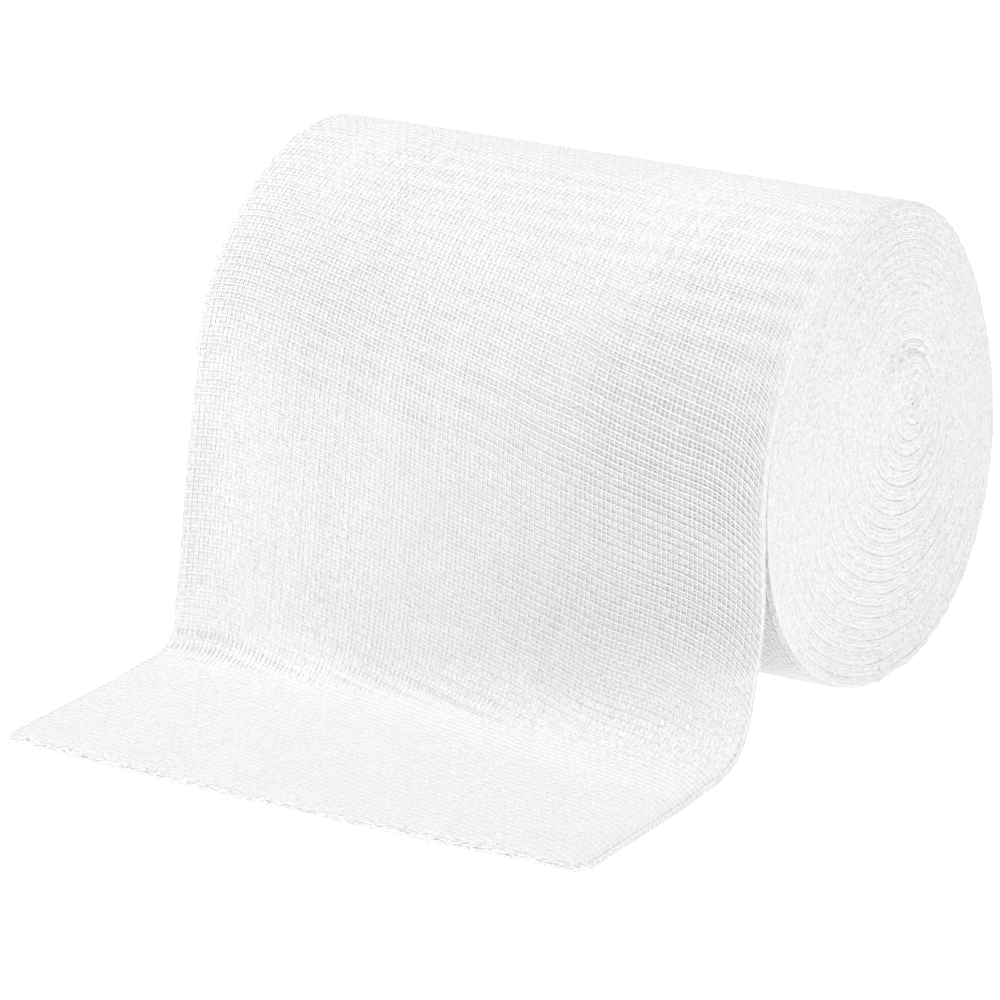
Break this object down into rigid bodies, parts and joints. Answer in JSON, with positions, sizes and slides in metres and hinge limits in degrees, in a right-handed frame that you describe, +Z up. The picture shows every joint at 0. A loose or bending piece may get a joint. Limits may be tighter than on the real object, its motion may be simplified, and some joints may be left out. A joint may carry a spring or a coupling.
{
  "type": "gauze bandage roll",
  "caption": "Wound roll of folded open-weave gauze, with its loose end hanging down the front and lying out flat.",
  "frame": {"origin": "on the table, under the middle of the whole object's box", "axes": "X along the roll, -Y towards the loose end that lies on the table, +Z up"},
  "size_m": [0.1, 0.127, 0.0755],
  "materials": {
    "gauze": "dull bleached cotton, open plain weave in several plies"
  },
  "bodies": {
    "root": {"gauze_roll": "gauze"}
  },
  "joints": []
}
